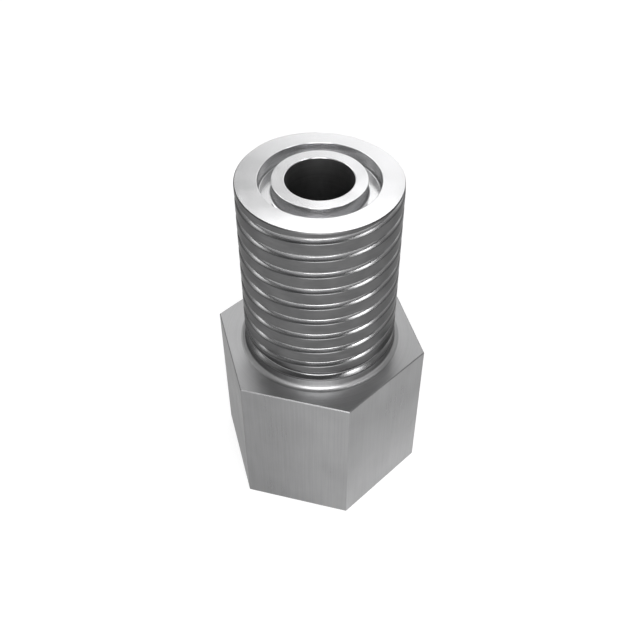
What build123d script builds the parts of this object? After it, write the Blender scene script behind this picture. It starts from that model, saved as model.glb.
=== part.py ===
# O-ring adapter fitting, turned from one piece of hexagon bar.
# A long male thread with an O-ring groove in its end face stands on a hexagon,
# and the hexagon holds a threaded O-ring port. A straight bore joins the two ends.
# Millimetres, +Z along the axis, origin at the centre of the hexagon's lower face.

import os
from math import radians, tan

from build123d import *

inch = 25.4

# Hexagon, with two of its corners on the X axis
hex_across_flats = 1.25 * inch
hex_height = 28.5

# Male end, a 1 inch thread of 8 turns to the inch with a flat crest and root
thread_diameter = 1.0 * inch
thread_pitch = inch / 8
male_length = 32.6
crest_width = 1.95
thread_depth = 0.7
flank_angle = 30.0

# Plain ring groove that the thread runs into, and the neck below it
relief_width = 1.9
relief_depth = 0.8
neck_land = 1.2
neck_fillet = 0.85

# The thread starts inside the ring groove, this many degrees before the X axis
# and this far below the groove's upper lip
start_angle = 20.0
start_gap = 0.25

# Sealing face at the male end, with its O-ring groove
groove_outer_diameter = 18.5
groove_inner_diameter = 14.4
groove_depth = 2.4

# Bore from end to end
bore_diameter = 10.5

# Port in the hexagon, a 7/8 inch thread with a cone for its O-ring
port_diameter = 0.875 * inch
port_length = 16.7
port_drill_diameter = 20.6
port_drill_depth = 20.0
drill_point_angle = 118.0
seat_diameter = 23.9
seat_depth = 2.5
seat_angle = 12.0

# Sharp outer corners are broken by this much
edge_break = 0.15

# A cutter stands this far out of the metal, so that it leaves no skin
clear = 0.5

# Worked out from the sizes above
overall_height = hex_height + male_length
thread_radius = thread_diameter / 2
flank_slope = tan(radians(flank_angle))
mouth_width = thread_pitch - crest_width
shoulder = hex_across_flats / 2 - edge_break - thread_radius
neck_radius = min(neck_fillet, shoulder / 2)
relief_height = hex_height + neck_radius + neck_land + relief_width / 2
thread_start = relief_height + (relief_width - mouth_width) / 2 - start_gap
start_direction = Vector(1, 0, 0).rotate(Axis.Z, -start_angle)
port_radius = port_diameter / 2
port_drill_radius = port_drill_diameter / 2
seat_radius = seat_diameter / 2
seat_inner_radius = seat_radius - seat_depth * tan(radians(seat_angle))
port_lead_in = seat_inner_radius - port_radius
drill_point = port_drill_radius / tan(radians(drill_point_angle / 2))


def groove_section(mouth, depth):
    """A groove with the thread's flanks, its mouth centred on the origin and +X out of the metal."""
    floor_half = mouth / 2 - depth * flank_slope
    lip_half = mouth / 2 + clear * flank_slope
    with BuildSketch() as section:
        with BuildLine():
            Polyline(
                (-depth, -floor_half),
                (clear, -lip_half),
                (clear, lip_half),
                (-depth, floor_half),
                close=True,
            )
        make_face()
    return section.sketch


with BuildPart() as adapter_body:

    # Hexagon and the round shank on top of it
    with BuildSketch():
        RegularPolygon(radius=hex_across_flats / 2, side_count=6, major_radius=False)
    extrude(amount=hex_height)
    hex_rims = adapter_body.edges().filter_by(Plane.XY)
    chamfer(hex_rims, length=edge_break)

    with BuildSketch(Plane.XY.offset(hex_height)):
        Circle(thread_radius)
    extrude(amount=male_length)

    # Rounded corner where the shank meets the hexagon, and the broken rim of its end
    neck_corner = adapter_body.edges().filter_by(GeomType.CIRCLE).sort_by(Axis.Z)[0]
    fillet(neck_corner, radius=neck_radius)
    end_rim = adapter_body.edges().filter_by(GeomType.CIRCLE).sort_by(Axis.Z)[-1]
    chamfer(end_rim, length=edge_break)

    # O-ring groove in the sealing face
    with BuildSketch(Plane.XY.offset(overall_height)):
        Circle(groove_outer_diameter / 2)
        Circle(groove_inner_diameter / 2, mode=Mode.SUBTRACT)
    extrude(amount=-groove_depth, mode=Mode.SUBTRACT)

    # Port: seat cone, lead-in, threaded wall, tap drill and its point
    with BuildSketch(Plane.XZ):
        with BuildLine():
            Polyline(
                (0, 0),
                (seat_radius, 0),
                (seat_inner_radius, seat_depth),
                (port_radius, seat_depth + port_lead_in),
                (port_radius, port_length),
                (port_drill_radius, port_length),
                (port_drill_radius, port_drill_depth),
                (0, port_drill_depth + drill_point),
                close=True,
            )
        make_face()
    revolve(axis=Axis.Z, mode=Mode.SUBTRACT)

    # Straight bore
    with BuildSketch():
        Circle(bore_diameter / 2)
    extrude(amount=overall_height, mode=Mode.SUBTRACT)

    # Ring groove at the foot of the thread
    with BuildSketch(Plane.XZ):
        with Locations((thread_radius, relief_height)):
            add(groove_section(relief_width, relief_depth))
    revolve(axis=Axis.Z, mode=Mode.SUBTRACT)

    # Right-hand thread, one groove from the ring groove up and out through the end face
    with BuildLine() as thread_path:
        Helix(
            pitch=thread_pitch,
            height=overall_height - thread_start + mouth_width,
            radius=thread_radius,
            center=(0, 0, thread_start),
        )
    path = thread_path.line.rotate(Axis.Z, -start_angle)
    with BuildSketch(Plane(origin=path @ 0, x_dir=start_direction, z_dir=path % 0)):
        add(groove_section(mouth_width, thread_depth))
    sweep(path=path, is_frenet=True, mode=Mode.SUBTRACT)

adapter_body.part.label = "adapter_body"

os.makedirs("parts", exist_ok=True)
export_step(adapter_body.part, "parts/adapter_body.step")
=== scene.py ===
from math import cos, pi, radians, sin, sqrt, tan

import bmesh
import bpy
import numpy as np
from mathutils import Matrix, Vector

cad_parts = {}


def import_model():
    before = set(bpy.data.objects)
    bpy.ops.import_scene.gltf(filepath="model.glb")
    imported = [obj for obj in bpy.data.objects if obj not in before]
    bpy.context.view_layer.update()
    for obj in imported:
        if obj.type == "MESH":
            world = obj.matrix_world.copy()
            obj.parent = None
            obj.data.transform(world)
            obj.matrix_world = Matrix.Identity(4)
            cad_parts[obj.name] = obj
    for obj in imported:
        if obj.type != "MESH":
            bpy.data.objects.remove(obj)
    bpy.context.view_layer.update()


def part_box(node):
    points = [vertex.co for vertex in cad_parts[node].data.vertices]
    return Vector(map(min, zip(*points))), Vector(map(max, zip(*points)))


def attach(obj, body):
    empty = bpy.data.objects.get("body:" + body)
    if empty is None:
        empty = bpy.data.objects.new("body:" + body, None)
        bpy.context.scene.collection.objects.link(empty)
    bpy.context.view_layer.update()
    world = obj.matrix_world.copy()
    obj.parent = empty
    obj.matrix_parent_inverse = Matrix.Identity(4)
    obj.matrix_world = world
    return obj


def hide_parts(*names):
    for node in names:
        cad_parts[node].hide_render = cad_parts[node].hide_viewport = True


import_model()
cad_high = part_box("adapter_body")[1]

MM = 0.001
INCH = 25.4

# Hexagon, in millimetres as all the sizes below are
APOTHEM = cad_high.y / MM
HEX_TOP = 28.5
EDGE = 0.15
HEX_CORNER = 0.15

# Male thread, the ring groove at its foot and the neck
TOP = cad_high.z / MM
R_THREAD = 12.7
PITCH = INCH / 8
CREST_WIDTH = 1.95
MOUTH_HALF = (PITCH - CREST_WIDTH) / 2
DEPTH = 0.7
SLOPE = tan(radians(30))
NECK_FILLET = 0.85
NECK_LAND = 1.2
RELIEF_HALF = 1.9 / 2
RELIEF_DEPTH = 0.8
RELIEF = HEX_TOP + NECK_FILLET + NECK_LAND + RELIEF_HALF
TURNS = 10

# The thread starts this many degrees before the X axis, this far below the ring groove's upper lip
START_ANGLE = 20
START_GAP = 0.25
START = RELIEF + RELIEF_HALF - MOUTH_HALF - START_GAP + PITCH * START_ANGLE / 360

# O-ring groove in the end face, and the bore
GROOVE_OUT = 9.25
GROOVE_IN = 7.2
GROOVE_DEPTH = 2.4
R_BORE = 5.25

# Port, with the half widths of its thread's ridge at foot and crest
R_PORT = 0.875 * INCH / 2
PORT_LENGTH = 16.7
PORT_PITCH = INCH / 14
PORT_TURNS = 9
RIDGE_FOOT = 0.68
RIDGE_CREST = 0.21
R_DRILL = 10.3
DRILL_DEPTH = 20.0
DRILL_SLOPE = tan(radians(59))
DRILL_POINT = DRILL_DEPTH + R_DRILL / DRILL_SLOPE
SEAT_OUT = 11.95
SEAT_DEPTH = 2.5
SEAT_IN = SEAT_OUT - SEAT_DEPTH * tan(radians(12))

# Radii of the small roundings that the CAD model leaves out
CREST_ROUND = 0.2
ROOT_ROUND = 0.08
LIP_ROUND = 0.12
RELIEF_ROUND = 0.2
FACE_ROUND = 0.08
BORE_ROUND = 0.12
GROOVE_CORNER = 0.3

# A flat is flat up to this far from the rounded corner beside it
FLAT_MARGIN = 0.03
# The wall's finish ends this far from the end face and from the groove's floor
WALL_MARGIN = 0.05
# The shank's section starts this far below the ring groove
SHANK_MARGIN = 0.2
# Length of the lines that give a corner at the end of an outline its direction
ARM = 1.0

# The mesh: degrees between its sections, and the angle over which an edge is sharp
SECTION_STEP = 2
SHARP_ANGLE = 28

# How much of the light each finish and the room give back
BAR_TONE = 0.265
EDGE_TONE = 0.24
NECK_TONE = 0.32
END_TONE = 0.43
# The thread's crest tone is painted shade, and its cut tone a painted highlight
CREST_PAINTED_SHADE_TONE = 0.125
CUT_PAINTED_HIGHLIGHT_TONE = 0.52
FACE_TONE = 0.83
# The groove walls' lower tone is painted shade in the groove
WALL_PAINTED_SHADE_TONE = 0.56
BORE_TONE = 0.4
FLOOR_TONE = 0.5
FLOOR_GLOW = 0.6
WALL_LEVEL = 0.42
CEILING_LEVEL = 0.09
STEEL_CAST = (1.0, 1.0, 1.01)

# The camera, fitted to the photo: degrees, and lengths in radii of the thread
CAMERA_TURN = 14.93
CAMERA_ELEVATION = 45.26
CAMERA_FIELD = 40.02
CAMERA_DISTANCE = 11.974
CAMERA_RIGHT = 0.0033
CAMERA_UP = 0.1708

# Lamps: name, turn from the camera's side, elevation, width and height in degrees, and level
LAMPS = (
    ("back_low", 153, 26, 58, 28, 0.74),
    ("back_high", 198, 50, 40, 15, 1.8),
    ("right", 74, 62, 16, 10, 8),
    ("left", -110, 46, 14, 12, 1.5),
    ("front", 0, 29, 38, 46, 5),
    ("fill", 0, 38, 110, 40, 0.5),
)
CAMERA_AZIMUTH = 285
LAMP_DISTANCE = 0.6
LAMP_TARGET = Vector((0, 0, 0.035))

FLOOR_HALF = 2.0


def rounded(points, steps=4):
    """A polyline through (x, y, radius) corners, each corner rounded by its radius."""
    out = []
    last = len(points) - 1
    for i, (x, y, radius) in enumerate(points):
        here = np.array((x, y))
        if radius == 0 or i in (0, last):
            out.append((x, y))
            continue
        back = np.array(points[i - 1][:2]) - here
        on = np.array(points[i + 1][:2]) - here
        back /= np.linalg.norm(back)
        on /= np.linalg.norm(on)
        half = np.arccos(np.clip(back @ on, -1, 1)) / 2
        middle = back + on
        centre = here + middle / np.linalg.norm(middle) * radius / sin(half)
        start = here + back * radius / tan(half) - centre
        end = here + on * radius / tan(half) - centre
        turn = np.arctan2(start[0] * end[1] - start[1] * end[0], start @ end)
        reach = radius / tan(half) + FLAT_MARGIN
        out.append(tuple(here + back * reach))
        for k in range(steps + 1):
            c, s = cos(turn * k / steps), sin(turn * k / steps)
            out.append(tuple(centre + (start[0] * c - start[1] * s, start[0] * s + start[1] * c)))
        out.append(tuple(here + on * reach))
    return out


def groove(half, depth, crest, root):
    """Depth of a groove with the thread's flanks against the height from its middle."""
    floor = half - depth * SLOPE
    line = rounded([
        (-half - ARM, 0, 0), (-half, 0, crest), (-floor, depth, root),
        (floor, depth, root), (half, 0, crest), (half + ARM, 0, 0),
    ])
    return np.array(line[1:-1])


MALE = groove(MOUTH_HALF, DEPTH, CREST_ROUND, ROOT_ROUND)
FOOT = groove(RELIEF_HALF, RELIEF_DEPTH, LIP_ROUND, RELIEF_ROUND)
PORT_RIDGE = np.array([
    (-RIDGE_FOOT, 0.0), (-RIDGE_CREST, R_PORT - R_DRILL),
    (RIDGE_CREST, R_PORT - R_DRILL), (RIDGE_FOOT, 0.0),
])


def profile(outline, z):
    """Depth or height of an outline at these heights from its middle, and 0 outside it."""
    return np.interp(z, outline[:, 0], outline[:, 1], 0, 0)


def within(z, low, high):
    """Heights in order from low to high, both of them included."""
    return np.concatenate([[low], np.sort(np.clip(z, low, high)), [high]])


def shank(theta):
    """Radii and heights of the shank's outside at one azimuth, from the neck to the end face."""
    first = START + PITCH * theta / (2 * pi)
    centres = first + PITCH * np.arange(-1, TURNS)
    rim = [TOP - EDGE, TOP - 0.6 * EDGE, TOP - 0.3 * EDGE]
    z = np.concatenate([(centres[:, None] + MALE[:, 0]).ravel(), RELIEF + FOOT[:, 0], rim])
    z = within(z, RELIEF - RELIEF_HALF - SHANK_MARGIN, TOP)
    cut = profile(FOOT, z - RELIEF)
    for c in centres[1:]:
        cut = np.maximum(cut, profile(MALE, z - c))
    cut = np.maximum(cut, z - (TOP - EDGE))
    return R_THREAD - cut, z


def port(theta):
    """Radii and heights of the port's threaded wall at one azimuth, from its deep end up."""
    low = SEAT_DEPTH + SEAT_IN - R_PORT
    first = low + PORT_PITCH * theta / (2 * pi)
    centres = first + PORT_PITCH * np.arange(-1, PORT_TURNS)
    lead_in = low + np.array((0.3, 0.6, 0.9))
    z = np.concatenate([(centres[:, None] + PORT_RIDGE[:, 0]).ravel(), lead_in])
    z = within(z, low, PORT_LENGTH)
    rise = np.zeros(len(z))
    for c in centres:
        rise = np.maximum(rise, profile(PORT_RIDGE, z - c))
    rise = np.minimum(rise, z - low)
    return (R_PORT - rise)[::-1], z[::-1]


def hexagon(apothem, theta):
    """Distance from the axis to a hexagon with slightly rounded corners, at one azimuth."""
    off = abs((theta % (pi / 3)) - pi / 6)
    reach = (apothem - HEX_CORNER) / cos(pi / 6)
    if off <= np.arctan(reach / 2 / apothem):
        return apothem / cos(off)
    d = pi / 6 - off
    return reach * cos(d) + sqrt(max(HEX_CORNER ** 2 - (reach * sin(d)) ** 2, 0))


def end_finish(x, y):
    """Finish of the strip after a point of the end face or its O-ring groove."""
    floor = TOP - GROOVE_DEPTH + WALL_MARGIN
    on_wall = floor < y < TOP - WALL_MARGIN
    in_outer_corner = y <= floor and x > GROOVE_OUT - GROOVE_CORNER + 0.01
    return "wall" if on_wall or in_outer_corner else "face"


def column(theta):
    """One section of the fitting, as radii, heights and the finish of the strip after each point."""
    r, z, finish = [], [], []

    def add(points, name):
        for x, y in points:
            r.append(x)
            z.append(y)
            finish.append(name)

    add([(SEAT_OUT, 0)], "bar")
    add([(hexagon(APOTHEM - EDGE, theta), 0)], "edge")
    add([(hexagon(APOTHEM, theta), EDGE)], "bar")
    add([(hexagon(APOTHEM, theta), HEX_TOP - EDGE)], "edge")
    add([(hexagon(APOTHEM - EDGE, theta), HEX_TOP)], "bar")
    neck = rounded([
        (R_THREAD + ARM, HEX_TOP, 0), (R_THREAD, HEX_TOP, NECK_FILLET),
        (R_THREAD, HEX_TOP + ARM, 0),
    ], 8)
    add(neck[1:-1], "neck")
    add(zip(*shank(theta)), "thread")
    finish[-1] = "face"
    face = rounded([
        (GROOVE_OUT + ARM, TOP, 0), (GROOVE_OUT, TOP, FACE_ROUND),
        (GROOVE_OUT, TOP - GROOVE_DEPTH, GROOVE_CORNER),
        (GROOVE_IN, TOP - GROOVE_DEPTH, GROOVE_CORNER), (GROOVE_IN, TOP, FACE_ROUND),
        (R_BORE, TOP, BORE_ROUND), (R_BORE, TOP - ARM, 0),
    ])
    for x, y in face[1:-1]:
        add([(x, y)], end_finish(x, y))
    finish[-1] = "bore"
    bore_end = DRILL_POINT - R_BORE / DRILL_SLOPE
    add([(R_BORE, bore_end), (R_DRILL, DRILL_DEPTH), (R_DRILL, PORT_LENGTH)], "bore")
    add(zip(*port(theta)), "bore")
    add([(SEAT_IN, SEAT_DEPTH)], "bore")
    return r, z, finish


def section_angles():
    """Degrees of the sections: evenly round the axis, and close together at the corners."""
    corner = np.arctan(HEX_CORNER / (2 * APOTHEM)) * 180 / pi
    steps = set(range(0, 361, SECTION_STEP))
    steps |= {60 * k + d * corner for k in range(7) for d in (-2, -1, 1, 2)}
    return sorted(t for t in steps if 0 <= t <= 360)


def build_adapter():
    """The whole fitting as one closed mesh, its sections joined round the axis."""
    degrees = section_angles()
    columns = [column(radians(t)) for t in degrees]
    finish = columns[0][2]
    n = len(finish)
    radius = np.array([c[0] for c in columns])
    height = np.array([c[1] for c in columns])
    t = np.radians(degrees)[:, None]
    points = np.stack([radius * np.cos(t), radius * np.sin(t), height], -1).reshape(-1, 3) * MM
    names = ["bar", "edge", "neck", "thread", "face", "wall", "bore"]
    faces, slots = [], []
    for j in range(len(degrees) - 1):
        for i in range(n):
            a, b = j * n + i, j * n + (i + 1) % n
            faces.append((a, a + n, b + n, b))
            slots.append(names.index(finish[i]))
    mesh = bpy.data.meshes.new("adapter")
    mesh.from_pydata(points.tolist(), [], faces)
    for name in names:
        mesh.materials.append(bpy.data.materials[name])
    mesh.polygons.foreach_set("material_index", slots)

    # The first and last sections meet, and strips of no height go
    bm = bmesh.new()
    bm.from_mesh(mesh)
    bmesh.ops.remove_doubles(bm, verts=bm.verts, dist=2e-7)
    bmesh.ops.dissolve_degenerate(bm, dist=1e-7, edges=bm.edges)
    bmesh.ops.recalc_face_normals(bm, faces=bm.faces)
    for f in bm.faces:
        f.smooth = True
    for e in bm.edges:
        ends_finish = e.link_faces[0].material_index != e.link_faces[1].material_index
        e.smooth = not (ends_finish or e.calc_face_angle() > radians(SHARP_ANGLE))
    bm.to_mesh(mesh)
    bm.free()

    ob = bpy.data.objects.new("adapter", mesh)
    bpy.context.scene.collection.objects.link(ob)
    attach(ob, "root")
    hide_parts("adapter_body")


class Finish:
    """A material's nodes, with short calls for what the finishes share."""

    def __init__(self, name):
        self.mat = bpy.data.materials.new(name)
        self.mat.use_nodes = True
        self.nodes, self.links = self.mat.node_tree.nodes, self.mat.node_tree.links
        self.nodes.clear()
        place = self.nodes.new("ShaderNodeNewGeometry")
        self.position, self.normal = place.outputs["Position"], place.outputs["Normal"]
        self.x, self.y, self.z = self.parts(self.position)
        self.radius = self.math("SQRT", self.math(
            "ADD", self.times(self.x, self.x), self.times(self.y, self.y)))

    def put(self, value, socket):
        """Links a socket to the input, or sets it to a number."""
        if isinstance(value, bpy.types.NodeSocket):
            self.links.new(value, socket)
        else:
            socket.default_value = value

    def parts(self, vector):
        node = self.nodes.new("ShaderNodeSeparateXYZ")
        self.links.new(vector, node.inputs[0])
        return node.outputs

    def math(self, kind, a, b=0.0):
        node = self.nodes.new("ShaderNodeMath")
        node.operation = kind
        self.put(a, node.inputs[0])
        self.put(b, node.inputs[1])
        return node.outputs[0]

    def times(self, a, b):
        return self.math("MULTIPLY", a, b)

    def ramp(self, value, low, high, out_low=0.0, out_high=1.0):
        """Runs smoothly from out_low to out_high as value goes from low to high."""
        node = self.nodes.new("ShaderNodeMapRange")
        node.interpolation_type = "SMOOTHSTEP"
        for socket, given in zip(node.inputs, (value, low, high, out_low, out_high)):
            self.put(given, socket)
        return node.outputs[0]

    def spread(self, noise, low, high):
        """Spreads a noise's usual values from low to high."""
        return self.ramp(noise, 0.3, 0.7, low, high)

    def vector(self, x, y, z):
        node = self.nodes.new("ShaderNodeCombineXYZ")
        for socket, given in zip(node.inputs, (x, y, z)):
            self.put(given, socket)
        return node.outputs[0]

    def noise(self, vector, detail):
        node = self.nodes.new("ShaderNodeTexNoise")
        node.inputs["Scale"].default_value = 1
        node.inputs["Detail"].default_value = detail
        self.links.new(vector, node.inputs["Vector"])
        return node.outputs["Fac"]

    def scaled(self, x, y, z):
        """The position, with its parts multiplied by these counts per metre."""
        return self.vector(self.times(self.x, x), self.times(self.y, y), self.times(self.z, z))

    def rings(self, across, along):
        """Turned rings, with these counts per metre outward and over the face."""
        return self.noise(self.vector(self.times(self.radius, across),
                                      self.times(self.x, along), self.times(self.y, along)), 2)

    def mix(self, share, a, b):
        """a where share is 0 and b where it is 1."""
        return self.math("ADD", a, self.times(share, self.math("SUBTRACT", b, a)))

    def done(self, tone, roughness, bump, depth, edge_tint):
        """The material, a metal of this tone with marks of this depth in metres."""
        out = self.nodes.new("ShaderNodeOutputMaterial")
        shader = self.nodes.new("ShaderNodeBsdfPrincipled")
        shader.inputs["Metallic"].default_value = 1
        shader.inputs["Specular Tint"].default_value = (edge_tint, edge_tint, edge_tint, 1)
        colour = self.nodes.new("ShaderNodeCombineColor")
        for socket, cast in zip(colour.inputs, STEEL_CAST):
            self.put(self.times(tone, cast), socket)
        self.links.new(colour.outputs[0], shader.inputs["Base Color"])
        self.put(roughness, shader.inputs["Roughness"])
        node = self.nodes.new("ShaderNodeBump")
        node.inputs["Strength"].default_value = 1
        node.inputs["Distance"].default_value = depth
        self.links.new(bump, node.inputs["Height"])
        self.links.new(node.outputs[0], shader.inputs["Normal"])
        self.links.new(shader.outputs[0], out.inputs[0])


def bar_finish(name, side_tone, end_tone):
    """Drawn hexagon bar, with streaks along the axis, and turned rings on its two ends."""
    f = Finish(name)
    normal_x, _, normal_z = f.parts(f.normal)
    end = f.ramp(f.math("ABSOLUTE", normal_z), 0.5, 0.8)
    streaks = f.noise(f.scaled(5200, 5200, 90), 4)
    marks = f.mix(end, streaks, f.rings(9000, 40))
    clouds = f.noise(f.scaled(160, 160, 110), 4)

    # Painted light: the flats are brighter toward +X, and a painted reflection makes them brightest
    # low on those that face +X
    painted_light_toward_x = f.ramp(f.x, -0.012, 0.014, 0.88, 1.2)
    low = f.times(f.ramp(f.z, 0, 0.024, 1, 0), f.ramp(normal_x, 0.4, 0.8))
    side = f.times(painted_light_toward_x, f.math("ADD", side_tone, f.times(low, side_tone * 0.4)))
    mottle = f.times(f.spread(marks, 0.96, 1.04), f.spread(clouds, 0.95, 1.05))
    tone = f.times(mottle, f.mix(end, side, end_tone))

    rough = f.math("ADD", f.spread(clouds, 0.25, 0.31), f.times(marks, 0.05))
    rough = f.math("ADD", rough, f.times(end, 0.1))
    f.done(tone, rough, marks, 0.0000012, 0.55)


def thread_finish():
    """Cut thread: dark on its crests as painted shade, brighter in the groove as a painted
    highlight, with fine lines along the cut.
    """
    f = Finish("thread")
    # Painted shade on the crests and a painted highlight deeper in the groove, set by the distance
    # from the axis
    crest = f.ramp(f.radius, (R_THREAD - 0.55) * MM, (R_THREAD - 0.04) * MM)
    lines = f.noise(f.scaled(60, 60, 9000), 3)
    clouds = f.noise(f.scaled(260, 260, 420), 4)
    # Painted shade: the groove's tone is halved in the ring groove and the first turns above it,
    # darker toward the hexagon
    cut = f.ramp(f.z, 31.5 * MM, 36.5 * MM, CUT_PAINTED_HIGHLIGHT_TONE / 2, CUT_PAINTED_HIGHLIGHT_TONE)
    tone = f.mix(crest, cut, CREST_PAINTED_SHADE_TONE)
    tone = f.times(tone, f.spread(clouds, 0.9, 1.1))
    tone = f.times(tone, f.spread(lines, 0.95, 1.05))
    rough = f.math("ADD", f.mix(crest, 0.14, 0.26), f.times(clouds, 0.06))
    f.done(tone, rough, lines, 0.0000015, 0.5)


def face_finish():
    """Machined sealing face, with fine rings round the axis."""
    f = Finish("face")
    rings = f.rings(12000, 25)
    clouds = f.noise(f.scaled(200, 200, 200), 3)
    tone = f.times(f.spread(rings, 0.97, 1.0), f.spread(clouds, FACE_TONE * 0.98, FACE_TONE))
    f.done(tone, f.spread(clouds, 0.15, 0.19), rings, 0.0000008, 0.9)


def wall_finish():
    """Walls of the O-ring groove, darker than the face that they are cut in: painted shade in the
    groove.
    """
    f = Finish("wall")
    lines = f.noise(f.scaled(60, 60, 8000), 3)
    f.done(f.spread(lines, WALL_PAINTED_SHADE_TONE * 0.92, WALL_PAINTED_SHADE_TONE * 1.08), 0.25, lines, 0.000001, 0.6)


def bore_finish():
    """Drilled and tapped inside, with the drill's fine lines."""
    f = Finish("bore")
    lines = f.noise(f.scaled(80, 80, 5000), 3)
    clouds = f.noise(f.scaled(300, 300, 150), 3)
    tone = f.times(f.spread(lines, 0.94, 1.06),
                   f.spread(clouds, BORE_TONE * 0.9, BORE_TONE * 1.1))
    f.done(tone, 0.35, lines, 0.000002, 0.8)


def seen(nodes, links, share):
    """Strength of the floor's white for the camera, reflections and clear pieces alone."""
    path = nodes.new("ShaderNodeLightPath")
    level = path.outputs["Is Camera Ray"]
    for kind in ("Is Glossy Ray", "Is Transmission Ray"):
        either = nodes.new("ShaderNodeMath")
        either.operation = "MAXIMUM"
        links.new(level, either.inputs[0])
        links.new(path.outputs[kind], either.inputs[1])
        level = either.outputs[0]
    part = nodes.new("ShaderNodeMath")
    part.operation = "MULTIPLY"
    part.inputs[1].default_value = share
    links.new(level, part.inputs[0])
    return part.outputs[0]


def floor():
    """Plain pale floor that keeps the object's shadow."""
    s = FLOOR_HALF
    mesh = bpy.data.meshes.new("floor")
    mesh.from_pydata([(-s, -s, 0), (s, -s, 0), (s, s, 0), (-s, s, 0)], [], [(0, 1, 2, 3)])
    ob = bpy.data.objects.new("floor", mesh)
    bpy.context.scene.collection.objects.link(ob)
    mat = bpy.data.materials.new("floor")
    mat.use_nodes = True
    nodes, links = mat.node_tree.nodes, mat.node_tree.links
    nodes.clear()
    out = nodes.new("ShaderNodeOutputMaterial")
    diffuse = nodes.new("ShaderNodeBsdfDiffuse")
    diffuse.inputs["Color"].default_value = (FLOOR_TONE, FLOOR_TONE, FLOOR_TONE, 1)
    glow = nodes.new("ShaderNodeEmission")
    links.new(seen(nodes, links, FLOOR_GLOW), glow.inputs["Strength"])
    add = nodes.new("ShaderNodeAddShader")
    links.new(diffuse.outputs[0], add.inputs[0])
    links.new(glow.outputs[0], add.inputs[1])
    links.new(add.outputs[0], out.inputs[0])
    mesh.materials.append(mat)


def world():
    """Pale walls that run into the floor's white at the horizon, under a dark ceiling."""
    w = bpy.data.worlds.new("world")
    bpy.context.scene.world = w
    w.use_nodes = True
    nodes, links = w.node_tree.nodes, w.node_tree.links
    nodes.clear()
    out = nodes.new("ShaderNodeOutputWorld")
    bg = nodes.new("ShaderNodeBackground")
    way = nodes.new("ShaderNodeTexCoord")
    split = nodes.new("ShaderNodeSeparateXYZ")
    links.new(way.outputs["Generated"], split.inputs[0])
    ramp = nodes.new("ShaderNodeValToRGB")
    # Height of the direction looked in, from horizon to zenith, and the light from there
    stops = (
        (0.0, 1.0), (0.12, 1.0), (0.3, WALL_LEVEL),
        (0.84, WALL_LEVEL), (0.92, CEILING_LEVEL), (1.0, CEILING_LEVEL),
    )
    while len(ramp.color_ramp.elements) < len(stops):
        ramp.color_ramp.elements.new(0.5)
    for element, (place, level) in zip(ramp.color_ramp.elements, stops):
        element.position = place
        element.color = (level, level, level, 1)
    links.new(split.outputs[2], ramp.inputs[0])
    links.new(ramp.outputs[0], bg.inputs["Color"])
    links.new(bg.outputs[0], out.inputs[0])


def softbox(name, turn, elevation, wide, high, level):
    """A rectangular lamp, placed and measured as the object sees it."""
    a, e = radians(CAMERA_AZIMUTH + turn), radians(elevation)
    place = LAMP_TARGET + LAMP_DISTANCE * Vector((cos(a) * cos(e), sin(a) * cos(e), sin(e)))
    data = bpy.data.lights.new(name, "AREA")
    data.shape = "RECTANGLE"
    data.size = 2 * LAMP_DISTANCE * tan(radians(wide / 2))
    data.size_y = 2 * LAMP_DISTANCE * tan(radians(high / 2))
    data.energy = level * pi * data.size * data.size_y
    ob = bpy.data.objects.new(name, data)
    ob.location = place
    ob.rotation_euler = (place - LAMP_TARGET).to_track_quat("Z", "Y").to_euler()
    ob.visible_camera = False
    bpy.context.scene.collection.objects.link(ob)


def set_camera():
    a, e = radians(CAMERA_TURN), radians(CAMERA_ELEVATION)
    unit = R_THREAD * MM
    back = Vector((sin(a) * cos(e), -cos(a) * cos(e), sin(e)))
    right = Vector((cos(a), sin(a), 0.0))
    up = back.cross(right)
    eye = (back * (CAMERA_DISTANCE * unit) + right * (CAMERA_RIGHT * unit)
           + up * (CAMERA_UP * unit) + Vector((0, 0, HEX_TOP * MM)))
    data = bpy.data.cameras.new("camera")
    data.angle = radians(CAMERA_FIELD)
    data.clip_start = 0.005
    data.clip_end = 20
    cam = bpy.data.objects.new("camera", data)
    cam.matrix_world = Matrix.Translation(eye) @ Matrix((right, up, back)).transposed().to_4x4()
    bpy.context.scene.collection.objects.link(cam)
    bpy.context.scene.camera = cam


set_camera()
bar_finish("bar", BAR_TONE, END_TONE)
bar_finish("edge", EDGE_TONE, EDGE_TONE)
bar_finish("neck", NECK_TONE, NECK_TONE)
thread_finish()
face_finish()
wall_finish()
bore_finish()
build_adapter()
floor()
world()
for lamp in LAMPS:
    softbox(*lamp)

bpy.context.scene.view_settings.view_transform = "Standard"
